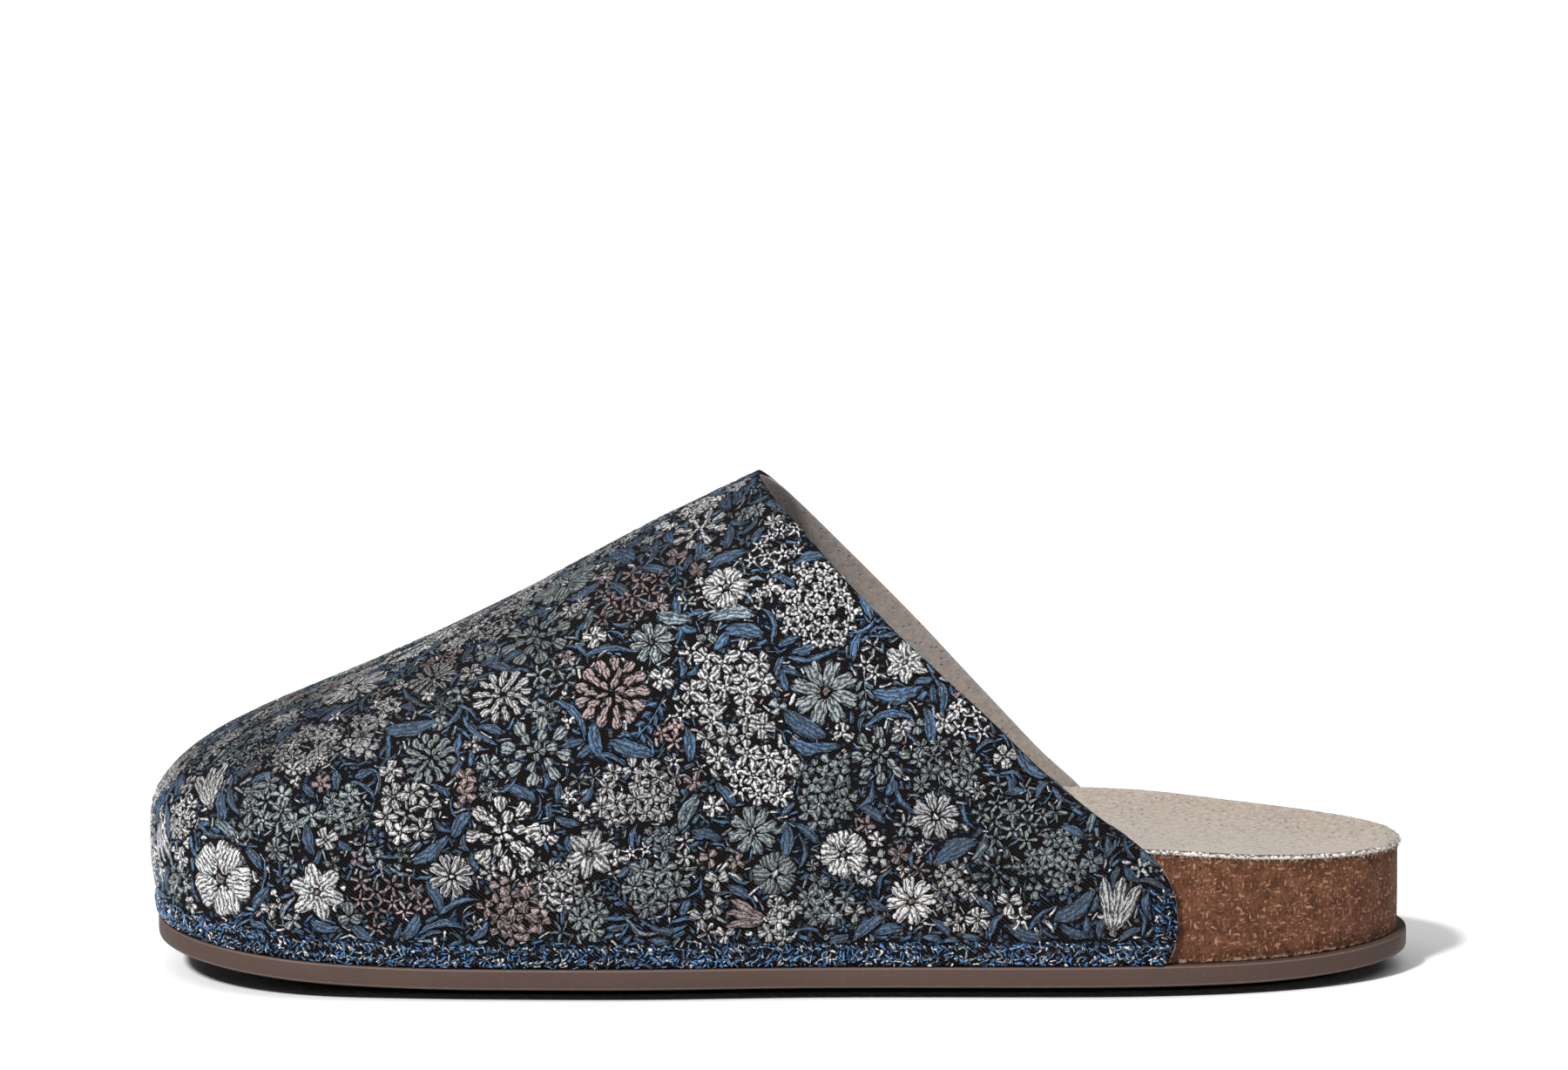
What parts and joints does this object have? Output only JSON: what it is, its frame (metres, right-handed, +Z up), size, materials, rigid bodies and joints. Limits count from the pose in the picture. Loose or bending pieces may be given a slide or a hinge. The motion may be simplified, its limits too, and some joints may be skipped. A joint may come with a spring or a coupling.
{
  "type": "clog mule",
  "caption": "Backless closed-toe clog mule with a brocade fabric upper, a suede footbed on a cork midsole and a thin rubber outsole.",
  "frame": {"origin": "middle of the shoe's box in plan, on the floor under the sole", "axes": "+X from the toe to the heel, +Y from the lateral to the medial side, +Z up"},
  "size_m": [0.264, 0.0964, 0.104],
  "materials": {
    "rubber": "matte",
    "cork": "sealed cork",
    "suede": "napped suede",
    "brocade": "woven brocade"
  },
  "bodies": {
    "root": {"outsole": "rubber", "midsole_cork": "cork", "footbed": "suede", "upper": "brocade"}
  },
  "joints": []
}
